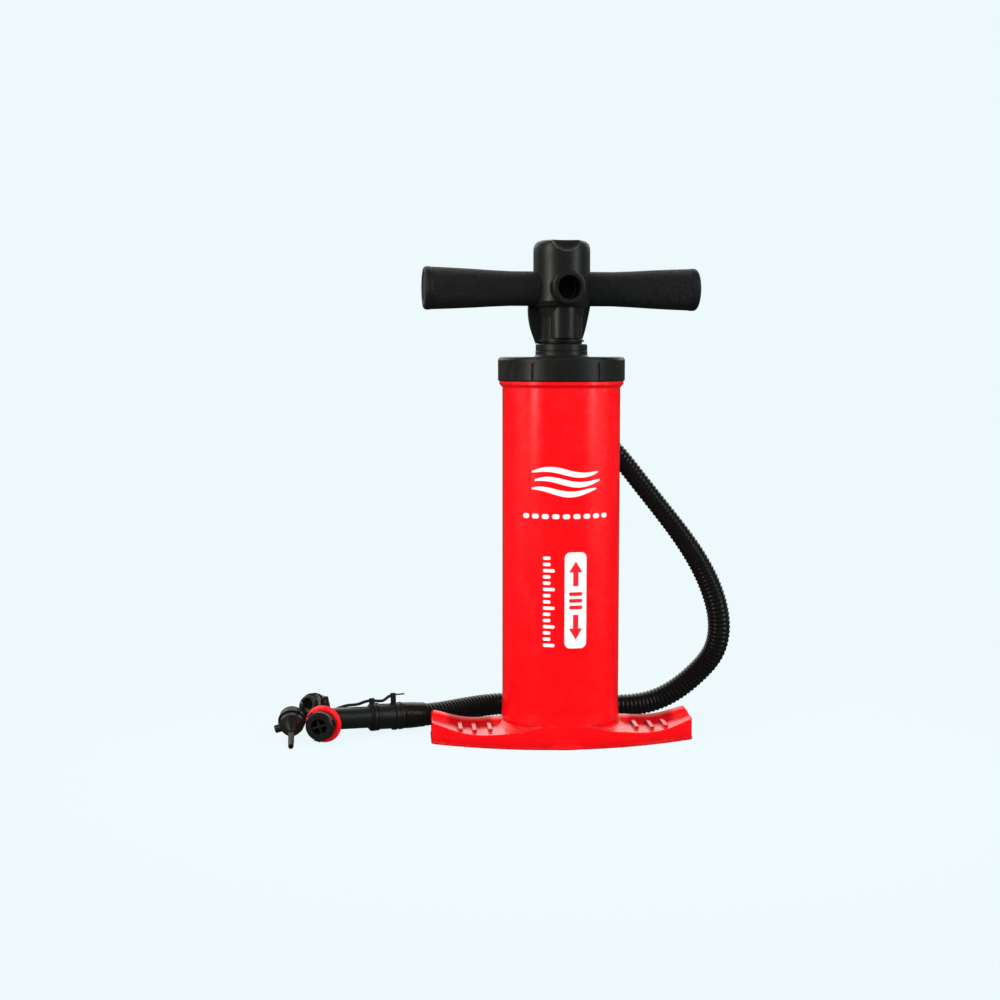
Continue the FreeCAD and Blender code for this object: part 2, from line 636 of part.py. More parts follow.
hose_line = [turned_point(0, ELBOW_Y, z, HANDLE_TURN) for z in (346.5, 340.0, 333.0)]
hose_line += [turned_point(*point) for point in HOSE_LAY]
split = [k for k, point in enumerate(hose_line) if point.z < HOSE_SPLIT_Z][0]
above, below = hose_line[split - 1], hose_line[split]
split_middle = (above + below) * 0.5
split_gap = (below - above).normalize() * HALF_SPLIT_GAP
save("hose_upper", swept(hose_line[:split] + [split_middle - split_gap], HOSE_R, HOSE_BORE_R))
save("hose_lower", swept([split_middle + split_gap] + hose_line[split:],
                         HOSE_LOW_R, HOSE_BORE_R))

# ---------------------------------------------------------------- hose end, coupling, nozzle
hose_end = hose_line[-1]
end_dir = (turned_point(-180.2, 2.9, 14.8) - hose_end).normalize()
outlet_dir = turned_point(-0.262, -0.965, 0.0).normalize()
NOZZLE_R = 8.95
NOZZLE_BORE_R = 6.5
COUPLING_AT = 6.0           # distances past the hose end
NOZZLE_AT = 35.02
KNEE_AT = 69.0
NECK = 15.0                 # nozzle length past its knee


def past_end(distance):
    """Point on the line that carries on from the hose end."""
    return hose_end + end_dir * distance


def nozzle_elbow():
    """Straight tube that turns towards the front."""
    nozzle = placed(cylinder(NOZZLE_R, KNEE_AT - NOZZLE_AT), past_end(NOZZLE_AT), end_dir)
    nozzle = nozzle.fuse(Part.makeSphere(NOZZLE_R, knee))
    nozzle = nozzle.fuse(placed(cylinder(NOZZLE_R, NECK), knee, outlet_dir))
    collar = tube(10.2, 8.0, 2.0)
    nozzle = nozzle.fuse(placed(collar, knee + outlet_dir * (NECK - 3.4), outlet_dir))
    nozzle = nozzle.cut(placed(cylinder(NOZZLE_BORE_R, KNEE_AT - 34.0), past_end(34.9), end_dir))
    nozzle = nozzle.cut(Part.makeSphere(NOZZLE_BORE_R, knee))
    return nozzle.cut(placed(cylinder(NOZZLE_BORE_R, NECK + 1.0), knee, outlet_dir))


def bayonet_adapter():
    """Sleeve with a cross in its bore and three lugs outside."""
    adapter = revolve([
        (6.6, 0.0), (9.3, 0.0), (9.3, 4.45), (11.8, 4.45), (11.8, 12.4), (10.8, 13.6),
        (6.6, 13.6)])
    for angle in (0, 90):
        adapter = adapter.fuse(turn(box(-6.9, 6.9, -0.8, 0.8, 6.0, 12.4), angle))
    for angle in (0, 120, 240):
        adapter = adapter.fuse(turn(box(11.4, 13.2, -2.6, 2.6, 7.6, 10.2), angle))
    return adapter


knee = past_end(KNEE_AT)
adapter_base = knee + outlet_dir * (NECK + 0.06)

cuff = placed(revolve([
    (9.0, 0.0), (10.2, 0.0), (10.3, 3.0), (10.7, 9.0), (10.9, 13.0), (10.9, 19.0),
    (10.2, 19.95), (9.0, 19.95)]), past_end(-14.0), end_dir)
save("hose_end_cuff", cuff.cut(swept(hose_line[-5:], HOSE_LOW_R + FIT)))
save("hose_coupling", placed(revolve([
    (6.5, 0.02), (10.6, 0.02), (11.5, 0.6), (11.5, 2.6), (10.6, 3.2), (10.6, 21.0),
    (11.5, 21.6), (11.5, 24.0), (10.6, 24.6), (10.6, 28.4), (10.2, 29.0), (6.5, 29.0)]),
    past_end(COUPLING_AT), end_dir))
save("nozzle_elbow", nozzle_elbow())
save("bayonet_gasket", placed(revolve([
    (9.34, 0.02), (13.4, 0.02), (14.7, 0.7), (15.3, 2.2), (14.7, 3.7), (13.4, 4.4),
    (9.34, 4.4)]), adapter_base, outlet_dir))
save("bayonet_adapter", placed(bayonet_adapter(), adapter_base, outlet_dir))

# ---------------------------------------------------------------- loose adapters on the tether
wide_centre = turned_point(-206.0, 24.0, 19.6)
wide_dir = turned_point(-0.52, -0.78, 0.35).normalize()
cone_centre = turned_point(-221.6, -5.6, 14.9)
cone_dir = turned_point(-219.0, -41.5, 2.5) - cone_centre
cone_length = cone_dir.Length
cone_dir.normalize()


def cone_nozzle():
    """Cone with a long needle and one round lug."""
    nozzle = revolve([
        (6.4, -8.0), (9.4, -8.0), (10.0, -7.2), (10.0, -1.8), (9.1, -1.4), (9.1, 1.4),
        (10.0, 1.8), (10.0, 6.0), (7.6, 11.0), (3.4, 18.0), (2.5, 20.0),
        (2.2, cone_length - 1.0), (1.9, cone_length), (1.1, cone_length), (1.1, 14.0),
        (6.4, 2.0)])
    nozzle = nozzle.fuse(cylinder(3.3, 6.6, x=7.4, z=4.9, axis=ALONG_X))
    # turned so that the lug, once placed, points to the left
    to_cone = FreeCAD.Rotation(UP, cone_dir)

    def leftness(degrees):
        angle = math.radians(degrees)
        lug = to_cone.multVec(Vector(math.cos(angle), math.sin(angle), 0))
        return lug.dot(Vector(-0.9, 0, -0.25))

    return turn(nozzle, max(range(0, 360, 5), key=leftness))


save("wide_adapter", placed(revolve([
    (6.0, -8.0), (11.1, -8.0), (11.5, -7.4), (11.5, -2.6), (9.9, -2.0), (9.9, 1.6),
    (10.9, 2.2), (10.9, 5.2), (8.6, 5.8), (8.2, 9.6), (7.6, 10.2), (6.0, 10.2)]),
    wide_centre, wide_dir))
save("cone_nozzle", placed(cone_nozzle(), cone_centre, cone_dir))

# ---------------------------------------------------------------- tether and cable ties
CORD_R = 1.25
# cord beside the nozzle and coupling: distance past the hose end, rise, offset to the rear
CORD_STATIONS = [
    (66.0, 6.5, 12.0), (59.0, 9.0, 6.0), (53.0, 10.5, 2.2), (47.5, 10.7, 0.4),
    (43.0, 11.4, 0), (38.0, 13.0, 0), (32.2, 13.6, 0), (26.5, 12.9, 0), (21.5, 13.3, 0),
    (17.0, 16.4, 0), (12.0, 17.4, 0)]
# (radius, z) envelopes that clear the two adapters
WIDE_CLEARANCE = [
    (0, -8.1), (11.6, -8.1), (11.6, -2.6), (9.96, -1.9), (9.96, 1.5), (11.0, 2.1),
    (11.0, 5.9), (8.8, 6.0), (8.8, 10.3), (0, 10.3)]
CONE_CLEARANCE = [
    (0, -8.1), (10.1, -8.1), (10.1, -1.75), (9.16, -1.33), (9.16, 1.33), (10.1, 1.75),
    (10.1, 6.1), (0, 19.0)]


def square_to(direction, x, y, z):
    """Unit vector square to the direction, as near as can be to (x, y, z)."""
    wanted = Vector(x, y, z)
    return (wanted - direction * direction.dot(wanted)).normalize()


rise_dir = square_to(end_dir, 0.0, 0.25, 1.0)
rear_dir = end_dir.cross(rise_dir)
wide_side = square_to(wide_dir, 1.0, 0.25, 0.35)
main_cord = [wide_centre - wide_dir * 0.2 + wide_side * 11.2,
             wide_centre - wide_dir * 1.2 + wide_side * 14.4]
main_cord += [past_end(distance) + rise_dir * rise + rear_dir * offset
              for distance, rise, offset in CORD_STATIONS]


def adapter_tether():
    """A ring in each adapter's groove, a main cord to the coupling and a link cord."""
    cone_side = square_to(cone_dir, 0.45, 0.5, 0.9)
    link_side = square_to(wide_dir, -0.5, -0.2, -0.6)
    link_cord = [cone_centre + cone_side * 10.3,
                 cone_centre + cone_side * 13.4 - cone_dir * 0.6,
                 cone_centre + cone_side * 14.0 - cone_dir * 9.0,
                 wide_centre + link_side * 14.4,
                 wide_centre - wide_dir * 0.2 + link_side * 11.2]
    tether = placed(tube(12.0, 9.96, 2.4, z=-1.4), wide_centre, wide_dir)
    tether = tether.fuse(placed(tube(11.2, 9.16, 2.0, z=-1.0), cone_centre, cone_dir))
    tether = tether.fuse(swept(main_cord, CORD_R)).fuse(swept(link_cord, CORD_R))
    for centre, direction, outline in ((wide_centre, wide_dir, WIDE_CLEARANCE),
                                       (cone_centre, cone_dir, CONE_CLEARANCE)):
        tether = tether.cut(placed(revolve(outline), centre, direction))
    return largest_solid(tether)


def cable_tie(distance, extra_height, has_tail):
    """Band round the coupling with a head that holds the main cord."""
    band_r = 10.64
    centre = past_end(distance)
    tie = placed(tube(band_r + 1.1, band_r, 2.6, z=-1.3), centre, end_dir)
    head = box(-2.3, 2.3, -2.5, 2.5, 0, 4.0 + extra_height)
    tie = tie.fuse(placed(head, centre + rise_dir * (band_r + 0.9), rise_dir))
    if has_tail:
        tail = box(-0.6, 0.6, -1.5, 1.5, 0, 9.5)
        tie = tie.fuse(placed(tail, centre + rise_dir * (band_r + 6.9),
                              Vector(0.97, 0.22, 0.03)))
    return largest_solid(tie.cut(swept(main_cord, CORD_R + 0.05)))


save("adapter_tether", adapter_tether())
export("cable_ties", Part.makeCompound([
    cable_tie(32.2, extra_height=0.0, has_tail=False),
    cable_tie(13.0, extra_height=3.6, has_tail=True)]))
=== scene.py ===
# An upright hand pump with a red barrel, foot plates, a T-handle and a corrugated hose.
# The barrel stands on the floor along +Z, centred on the origin. Its front faces -Y and
# right is +X, as seen from the front. The handle's bar lies near X, turned a few degrees
# about Z, and the hose starts behind the barrel (+Y). Scene units are metres; lengths in
# the hose, grip and print sections are in millimetres until they are multiplied by MM.
import json
import math

import bmesh
import bpy
import numpy as np
from mathutils import Matrix, Vector
from mathutils.geometry import tessellate_polygon


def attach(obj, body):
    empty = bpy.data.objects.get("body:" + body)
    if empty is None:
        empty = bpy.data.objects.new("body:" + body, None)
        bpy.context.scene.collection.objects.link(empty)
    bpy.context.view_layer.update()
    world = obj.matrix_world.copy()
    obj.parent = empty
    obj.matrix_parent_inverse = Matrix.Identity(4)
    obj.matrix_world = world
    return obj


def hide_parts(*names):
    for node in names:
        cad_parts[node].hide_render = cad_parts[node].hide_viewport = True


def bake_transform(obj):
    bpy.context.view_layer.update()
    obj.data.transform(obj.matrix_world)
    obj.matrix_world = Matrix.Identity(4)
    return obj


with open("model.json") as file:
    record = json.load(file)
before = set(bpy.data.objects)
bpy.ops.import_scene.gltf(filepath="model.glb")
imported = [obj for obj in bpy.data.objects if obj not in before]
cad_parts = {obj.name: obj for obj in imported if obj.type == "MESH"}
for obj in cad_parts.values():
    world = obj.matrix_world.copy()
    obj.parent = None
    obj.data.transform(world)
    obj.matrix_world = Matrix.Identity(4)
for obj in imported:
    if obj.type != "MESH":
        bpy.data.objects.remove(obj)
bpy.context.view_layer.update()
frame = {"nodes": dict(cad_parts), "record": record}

NODES = frame["nodes"]
scene = bpy.context.scene

MM = 0.001
HANDLE_TURN = math.radians(5.3)
CAMERA_AZIMUTH = 6.5  # degrees, from the front (-Y) towards -X

# ------------------------------------------------------------------ shader node helpers

# socket numbers of a colour Mix node
MIX_FACTOR, MIX_A, MIX_B, MIX_RESULT = 0, 6, 7, 2


def rgba(color):
    return (*color, 1)


def feed(tree, socket, value):
    """Link value to the socket if it is a socket itself, or else store it there."""
    if isinstance(value, bpy.types.NodeSocket):
        tree.links.new(value, socket)
    else:
        socket.default_value = value


def add_node(tree, kind, inputs=None, **settings):
    """A new node with its settings, and its inputs given as values or sockets."""
    node = tree.nodes.new(kind)
    for key, value in settings.items():
        setattr(node, key, value)
    for key, value in (inputs or {}).items():
        feed(tree, node.inputs[key], value)
    return node


def add_math(tree, operation, *values):
    node = add_node(tree, "ShaderNodeMath", dict(enumerate(values)), operation=operation)
    return node.outputs[0]


def add_ramp(tree, value, source, target=(0.0, 1.0), smooth=True):
    """Map the source range of value to the target range."""
    node = add_node(
        tree, "ShaderNodeMapRange",
        {"From Min": source[0], "From Max": source[1],
         "To Min": target[0], "To Max": target[1], "Value": value},
        interpolation_type="SMOOTHSTEP" if smooth else "LINEAR")
    return node.outputs["Result"]


def mix_shaders(tree, factor, first, second):
    node = add_node(tree, "ShaderNodeMixShader", {0: factor, 1: first, 2: second})
    return node.outputs[0]


class Surface:
    """One Principled material, built up by chained calls. Lengths are in metres."""

    def __init__(self, name, color, rough, specular=0.5, coat=0.0, coat_rough=0.1, metallic=0.0):
        self.material = bpy.data.materials.new(name)
        self.material.use_nodes = True
        self.tree = self.material.node_tree
        self.shader = self.tree.nodes["Principled BSDF"]
        self.color, self.rough = color, rough
        self.set("Base Color", rgba(color))
        self.set("Roughness", rough)
        self.set("Specular IOR Level", specular)
        self.set("Coat Weight", coat)
        self.set("Coat Roughness", coat_rough)
        self.set("Metallic", metallic)
        self.place = self.add("ShaderNodeTexCoord").outputs["Object"]
        self.base = None
        self.normal = None

    def add(self, kind, inputs=None, **settings):
        return add_node(self.tree, kind, inputs, **settings)

    def set(self, key, value):
        feed(self.tree, self.shader.inputs[key], value)

    def recolor(self, factor, low, high):
        """Make the base colour a mix that goes from low to high with the factor."""
        mix = self.add("ShaderNodeMix", {MIX_FACTOR: factor, MIX_A: low, MIX_B: high},
                       data_type="RGBA")
        self.base = mix.outputs[MIX_RESULT]
        self.set("Base Color", self.base)

    def noise(self, scale, detail, stretch=None):
        place = self.place
        if stretch:
            mapping = self.add("ShaderNodeMapping", {"Scale": stretch, "Vector": place})
            place = mapping.outputs["Vector"]
        node = self.add("ShaderNodeTexNoise", {"Scale": scale, "Detail": detail, "Vector": place})
        return node.outputs["Fac"]

    def bevel(self, radius):
        """Rounded look for sharp edges."""
        self.normal = self.add("ShaderNodeBevel", {"Radius": radius}, samples=4).outputs["Normal"]
        return self

    def vary(self, scale, amount, rough_amount):
        """Slow colour and gloss variation, as moulded plastic has."""
        darker = [c * (1 - amount) for c in self.color]
        lighter = [min(1, c * (1 + amount)) for c in self.color]
        self.recolor(self.noise(scale, detail=2.0), rgba(darker), rgba(lighter))
        gloss = self.noise(scale * 5.1, detail=4.0)
        limits = (max(0.02, self.rough - rough_amount), self.rough + rough_amount)
        self.set("Roughness", add_ramp(self.tree, gloss, (0.3, 0.7), limits, smooth=False))
        return self

    def paint_corner_shade(self, distance, corner_shade_color):
        """Painted shade: corners and recesses go towards a deeper, darker colour, found by
        ambient occlusion.
        """
        occlusion = self.add("ShaderNodeAmbientOcclusion", {"Distance": distance}, samples=6)
        openness = add_ramp(self.tree, occlusion.outputs["AO"], (0.30, 0.86), smooth=False)
        # painted shade: the colour darkens where ambient occlusion finds nearby surfaces
        self.recolor(openness, rgba(corner_shade_color), self.base)
        return self

    def bounce(self, color):
        """Light leaving this surface towards other surfaces takes a quieter colour."""
        path = self.add("ShaderNodeLightPath")
        self.recolor(path.outputs["Is Camera Ray"], rgba(color), self.base)
        return self

    def paint_ridge_shade(self, ridge_shade_color, specular, coat):
        """Painted shade on the low ridge along each foot plate: its colour is painted a darker
        red, and it is given less gloss than the rest.

        specular and coat are (value elsewhere, value on the ridge).
        """
        tree = self.tree
        axes = self.add("ShaderNodeSeparateXYZ", {0: self.place}).outputs
        across = add_math(tree, "ABSOLUTE", axes["X"])
        # a strip on either side of the barrel, fading out to the front and upwards
        ridge = add_math(tree, "MULTIPLY", add_ramp(tree, across, (0.053, 0.060)),
                         add_ramp(tree, across, (0.090, 0.098), (1.0, 0.0)))
        ridge = add_math(tree, "MULTIPLY", ridge, add_ramp(tree, axes["Y"], (-0.014, -0.006)))
        ridge = add_math(tree, "MULTIPLY", ridge,
                         add_ramp(tree, axes["Z"], (0.022, 0.026), (1.0, 0.0)))
        # painted shade: the ridge's base colour goes to a darker red
        self.recolor(ridge, self.base, rgba(ridge_shade_color))
        for key, limits in (("Specular IOR Level", specular), ("Coat Weight", coat)):
            self.set(key, add_ramp(tree, ridge, (0.0, 1.0), limits, smooth=False))
        return self

    def relief(self, height, strength, distance):
        """Bump on top of whatever normal there is so far."""
        inputs = {"Strength": strength, "Distance": distance, "Height": height}
        if self.normal is not None:
            inputs["Normal"] = self.normal
        self.normal = self.add("ShaderNodeBump", inputs).outputs["Normal"]
        return self

    def grain(self, scale, strength, distance, stretch=None):
        """Fine surface relief."""
        return self.relief(self.noise(scale, detail=4.0, stretch=stretch), strength, distance)

    def knurl(self, strength, distance):
        """Diamond relief from the mesh's own along/around coordinates and mask."""
        tree = self.tree
        coords = self.add("ShaderNodeUVMap", uv_map="knurl").outputs["UV"]
        axes = self.add("ShaderNodeSeparateXYZ", {"Vector": coords}).outputs
        waves = []
        for operation in ("ADD", "SUBTRACT"):
            diagonal = add_math(tree, operation, axes["X"], axes["Y"])
            waves.append(add_math(tree, "ABSOLUTE", add_math(tree, "SINE", diagonal)))
        diamonds = add_math(tree, "MULTIPLY", *waves)
        mask = self.add("ShaderNodeAttribute", attribute_name="texture_mask").outputs["Fac"]
        return self.relief(add_math(tree, "MULTIPLY", diamonds, mask), strength, distance)

    def done(self):
        self.set("Normal", self.normal)
        return self.material


# ------------------------------------------------------------------ materials

BLACK = (0.0062, 0.0068, 0.0060)

red = (Surface("red_plastic", (0.90, 0.0006, 0.0038), rough=0.25, specular=0.30,
               coat=0.10, coat_rough=0.12)
       .bevel(0.0011)
       .vary(scale=18, amount=0.04, rough_amount=0.05)
       # painted shade in corners and recesses
       .paint_corner_shade(distance=0.016, corner_shade_color=(0.40, 0.0, 0.002))
       # painted shade on the foot plates' ridges
       .paint_ridge_shade(ridge_shade_color=(0.42, 0.0005, 0.0025), specular=(0.30, 0.06), coat=(0.10, 0.0))
       .bounce((0.30, 0.07, 0.07))
       .grain(scale=900, strength=0.06, distance=0.00006).done())
black = (Surface("black_plastic", BLACK, rough=0.40, specular=0.42)
         .bevel(0.0009)
         .vary(scale=40, amount=0.18, rough_amount=0.06)
         .grain(scale=2200, strength=0.35, distance=0.00008).done())
black_fine = (Surface("black_plastic_small", BLACK, rough=0.36, specular=0.42)
              .bevel(0.0004)
              .vary(scale=80, amount=0.2, rough_amount=0.08)
              .grain(scale=2600, strength=0.3, distance=0.00006).done())
grey = (Surface("grey_plastic", (0.032, 0.033, 0.036), rough=0.4, specular=0.4)
        .bevel(0.0004)
        .vary(scale=50, amount=0.15, rough_amount=0.06)
        .grain(scale=1800, strength=0.3, distance=0.00006).done())
seal = (Surface("seal_rubber", (0.009, 0.009, 0.009), rough=0.7, specular=0.3)
        .bevel(0.0003)
        .vary(scale=120, amount=0.25, rough_amount=0.08)
        .grain(scale=3000, strength=0.5, distance=0.00006).done())
red_rubber = (Surface("red_rubber", (0.90, 0.0015, 0.009), rough=0.36, specular=0.35)
              .bevel(0.0005)
              .vary(scale=90, amount=0.08, rough_amount=0.06)
              .grain(scale=1900, strength=0.3, distance=0.00006).done())
steel = (Surface("steel", (0.55, 0.55, 0.56), rough=0.3, metallic=1.0)
         .bevel(0.0002)
         .vary(scale=200, amount=0.1, rough_amount=0.08)
         .grain(scale=1500, strength=0.3, distance=0.00004, stretch=(8, 1, 1)).done())
hose_plastic = (Surface("hose_plastic", (0.0042, 0.0044, 0.0042), rough=0.30, specular=0.34)
                .vary(scale=60, amount=0.2, rough_amount=0.06)
                .grain(scale=1500, strength=0.12, distance=0.00004).done())
grip_rubber = (Surface("grip_rubber", (0.0062, 0.0067, 0.0076), rough=0.55, specular=0.32)
               .vary(scale=70, amount=0.2, rough_amount=0.06)
               .knurl(strength=0.9, distance=0.0005)
               .grain(scale=2600, strength=0.25, distance=0.00005).done())


def ink(name, color):
    """Screen-printed ink: nearly flat, with slightly uneven cover."""
    return (Surface(name, color, rough=0.32, specular=0.4, coat=0.2, coat_rough=0.12)
            .vary(scale=300, amount=0.05, rough_amount=0.06)
            .grain(scale=1700, strength=0.12, distance=0.00003).done())


ink_white = ink("print_white", (0.86, 0.84, 0.83))
ink_red = ink("print_red", (0.80, 0.01, 0.02))

SLOT_MATERIALS = {
    "red_plastic": red, "black_plastic": black, "grip_rubber": grip_rubber,
    "hose_plastic": hose_plastic, "grey_plastic": grey, "seal_rubber": seal,
    "red_rubber": red_rubber, "steel": steel,
}
# small black pieces, which take a finer bevel and grain
SMALL_NODES = {
    "hose_coupling", "cable_ties", "nozzle_elbow", "adapter_tether", "bayonet_adapter",
    "wide_adapter", "cone_nozzle", "hose_connector",
}
node_slots = {part["node"]: part["material_slot"] for part in frame["record"]["subparts"]}
for name, node in NODES.items():
    material = black_fine if name in SMALL_NODES else SLOT_MATERIALS[node_slots[name]]
    node.data.materials.clear()
    node.data.materials.append(material)
    for polygon in node.data.polygons:
        polygon.material_index = 0

# ------------------------------------------------------------------ mesh helpers


def smooth_all(mesh):
    mesh.polygons.foreach_set("use_smooth", [True] * len(mesh.polygons))


def mark_sharp(mesh, degrees):
    mesh.set_sharp_from_angle(angle=math.radians(degrees))


def mesh_object(name, verts, faces, material, smooth=True, uvs=None, mask=None):
    """uvs and mask hold one entry per vertex, for the grips' knurl."""
    mesh = bpy.data.meshes.new(name)
    mesh.from_pydata([tuple(map(float, v)) for v in verts], [], faces)
    mesh.validate()
    mesh.update()
    if uvs is not None:
        layer = mesh.uv_layers.new(name="knurl")
        for corner in mesh.loops:
            layer.data[corner.index].uv = uvs[corner.vertex_index]
    if mask is not None:
        attribute = mesh.attributes.new("texture_mask", "FLOAT", "POINT")
        attribute.data.foreach_set("value", np.asarray(mask, np.float32))
    obj = bpy.data.objects.new(name, mesh)
    scene.collection.objects.link(obj)
    mesh.materials.append(material)
    if smooth:
        smooth_all(mesh)
    return obj


def tube_faces(rings, segments, first=0):
    """Quads between successive rings of points, numbered from first."""
    faces = []
    for i in range(rings - 1):
        a = first + i * segments
        b = a + segments
        for k in range(segments):
            k2 = (k + 1) % segments
            faces.append((a + k, a + k2, b + k2, b + k))
    return faces


def smooth_line(points, step):
    """Natural cubic through points, knots spaced by the root of the chord length.

    Returns samples about step apart, and their distances along the line.
    """
    knots = np.concatenate(
        [[0], np.cumsum(np.sqrt(np.linalg.norm(np.diff(points, axis=0), axis=1)))])
    count = len(points)
    gaps = np.diff(knots)
    system = np.zeros((count, count))
    rhs = np.zeros((count, 3))
    system[0, 0] = system[-1, -1] = 1
    for i in range(1, count - 1):
        system[i, i - 1] = gaps[i - 1]
        system[i, i] = 2 * (gaps[i - 1] + gaps[i])
        system[i, i + 1] = gaps[i]
        rhs[i] = 6 * ((points[i + 1] - points[i]) / gaps[i]
                      - (points[i] - points[i - 1]) / gaps[i - 1])
    curve = np.linalg.solve(system, rhs)  # second derivatives at the knots

    u = np.linspace(0, knots[-1], 4000)
    i = np.clip(np.searchsorted(knots, u, side="right") - 1, 0, count - 2)
    left = (knots[i + 1] - u)[:, None]
    right = (u - knots[i])[:, None]
    gap = gaps[i][:, None]
    dense = ((curve[i] * left ** 3 + curve[i + 1] * right ** 3) / (6 * gap)
             + (points[i] / gap - curve[i] * gap / 6) * left
             + (points[i + 1] / gap - curve[i + 1] * gap / 6) * right)

    along = np.concatenate([[0], np.cumsum(np.linalg.norm(np.diff(dense, axis=0), axis=1))])
    samples = max(2, int(round(along[-1] / step)) + 1)
    distances = np.linspace(0, along[-1], samples)
    line = np.stack([np.interp(distances, along, dense[:, axis]) for axis in range(3)], 1)
    return line, distances


def side_vectors(line):
    """Two unit vectors across the line at each point, carried along without twist."""
    tangents = np.gradient(line, axis=0)
    tangents /= np.linalg.norm(tangents, axis=1)[:, None]
    u = np.cross(tangents[0], [0.3, 0.2, 0.9])
    u /= np.linalg.norm(u)
    us, vs = [], []
    for tangent in tangents:
        u = u - tangent * (u @ tangent)
        u /= np.linalg.norm(u)
        us.append(u.copy())
        vs.append(np.cross(tangent, u))
    return np.array(us), np.array(vs)


# ------------------------------------------------------------------ corrugated hose

HOSE_BACK = 64.0                      # from the barrel's axis to the hose's upper end
HOSE_TOP_Z = (346.5, 340.0, 333.0)    # straight upper end
HOSE_LAY_TURN = math.radians(-2.0)    # turn of the lay about Z
# centreline from below the handle down to the floor and round behind: x, y, z
HOSE_LAY = [
    (-5.2, 63.9, 317.0), (0.8, 64.6, 300.0), (9.8, 65.0, 281.0), (27.8, 63.0, 256.5),
    (50.0, 54.0, 233.2), (70.8, 46.5, 207.3), (92.8, 41.0, 179.2), (113.4, 37.7, 151.0),
    (129.6, 36.4, 121.4), (138.6, 37.2, 89.0), (136.0, 42.4, 62.6), (124.2, 49.9, 43.2),
    (104.8, 56.0, 24.9), (84.0, 59.8, 14.0), (61.0, 60.5, 10.4), (30.0, 65.0, 9.6),
    (0.0, 71.0, 9.6), (-25.0, 74.4, 9.6), (-47.5, 73.4, 9.6), (-74.0, 60.2, 9.6),
    (-97.0, 42.6, 9.7), (-113.5, 31.2, 10.6), (-126.6, 25.4, 11.7),
]
HOSE_PITCH = 3.6 * MM
RINGS_PER_RIB = 6
HOSE_SEGMENTS = 30
HOSE_BORE_RADIUS = 6.5
VALLEY_RADIUS, RIB_HEIGHT = 7.55, 0.8
SLACK_RADIUS, SLACK_RIB = 1.15, 0.08    # added where the hose lies slack
SLACK_START, SLACK_RANGE = 0.30, 0.16   # as parts of the hose's length
TOP_CUFF_LENGTH, TOP_CUFF_RADIUS = 3, 8.3
END_CUFF_LENGTH, END_CUFF_RADIUS = 14, 8.85


def hose_radius(s, total):
    """Outer radius in mm, at s metres along: ribs between two plain cuffs."""
    if s < TOP_CUFF_LENGTH * MM:
        return TOP_CUFF_RADIUS
    if s > total - END_CUFF_LENGTH * MM:
        return END_CUFF_RADIUS
    phase = (s / HOSE_PITCH) % 1.0
    rib = (0.5 - 0.5 * math.cos(2 * math.pi * phase)) ** 0.75
    # stretched and thinner on its way down, slack and wider along the ground
    slack = min(max((s / total - SLACK_START) / SLACK_RANGE, 0.0), 1.0)
    slack = slack * slack * (3 - 2 * slack)
    return VALLEY_RADIUS + SLACK_RADIUS * slack + (RIB_HEIGHT + SLACK_RIB * slack) * rib


def build_hose():
    top_x = -HOSE_BACK * math.sin(HANDLE_TURN)
    top_y = HOSE_BACK * math.cos(HANDLE_TURN)
    cos_lay, sin_lay = math.cos(HOSE_LAY_TURN), math.sin(HOSE_LAY_TURN)
    stations = [(top_x, top_y, z) for z in HOSE_TOP_Z]
    stations += [(x * cos_lay - y * sin_lay, x * sin_lay + y * cos_lay, z)
                 for x, y, z in HOSE_LAY]
    line, distances = smooth_line(np.array(stations) * MM, HOSE_PITCH / RINGS_PER_RIB)
    us, vs = side_vectors(line)
    angles = np.linspace(0, 2 * math.pi, HOSE_SEGMENTS, endpoint=False)
    spokes = (np.cos(angles)[None, :, None] * us[:, None, :]
              + np.sin(angles)[None, :, None] * vs[:, None, :])
    radii = np.array([hose_radius(s, distances[-1]) * MM for s in distances])
    outer = (line[:, None, :] + radii[:, None, None] * spokes).reshape(-1, 3)

    # the smooth bore needs only one ring per rib
    bore_rings = list(range(0, len(line), RINGS_PER_RIB))
    if bore_rings[-1] != len(line) - 1:
        bore_rings.append(len(line) - 1)
    bore = line[:, None, :] + HOSE_BORE_RADIUS * MM * spokes
    bore = bore[bore_rings].reshape(-1, 3)

    bore_first = len(outer)
    faces = [face[::-1] for face in tube_faces(len(line), HOSE_SEGMENTS)]
    faces += tube_faces(len(bore_rings), HOSE_SEGMENTS, bore_first)
    # flat rims join the outside to the bore at both ends
    outer_last = bore_first - HOSE_SEGMENTS
    bore_last = bore_first + len(bore) - HOSE_SEGMENTS
    for k in range(HOSE_SEGMENTS):
        k2 = (k + 1) % HOSE_SEGMENTS
        faces.append((k2, bore_first + k2, bore_first + k, k))
        faces.append((outer_last + k, bore_last + k, bore_last + k2, outer_last + k2))
    hose = mesh_object("corrugated_hose", np.concatenate([outer, bore]), faces, hose_plastic)
    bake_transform(hose)
    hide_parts("hose_upper", "hose_lower")


build_hose()

# ------------------------------------------------------------------ grips

GRIP_Z = 0.368           # metres
GRIP_SEGMENTS = 96
DIAMONDS_ROUND = 66
DIAMOND_PITCH = 1.45     # along the grip
# profile points: radius, distance from the barrel's axis, knurl mask
GRIP_INNER_END = [(10.02, 17.0, 0), (13.55, 17.0, 0), (13.9, 17.4, 0), (13.9, 20.0, 1)]
GRIP_COLLAR = [
    (16.9, 106.25, 0), (16.72, 106.4, 0), (16.72, 106.8, 0), (17.15, 107.2, 0),
    (17.25, 108.9, 0), (17.2, 110.7, 0), (16.7, 111.8, 0), (15.9, 112.45, 0),
    (15.0, 112.6, 0), (10.6, 112.6, 0), (10.02, 112.1, 0),
]
# the knurled part between them widens outwards
KNURL_STATIONS = np.arange(21.0, 106.2, 0.75)
FLARE_X = [17, 42, 58, 73, 92, 106.1]
FLARE_RADIUS = [13.9, 13.9, 14.6, 15.5, 16.4, 16.9]


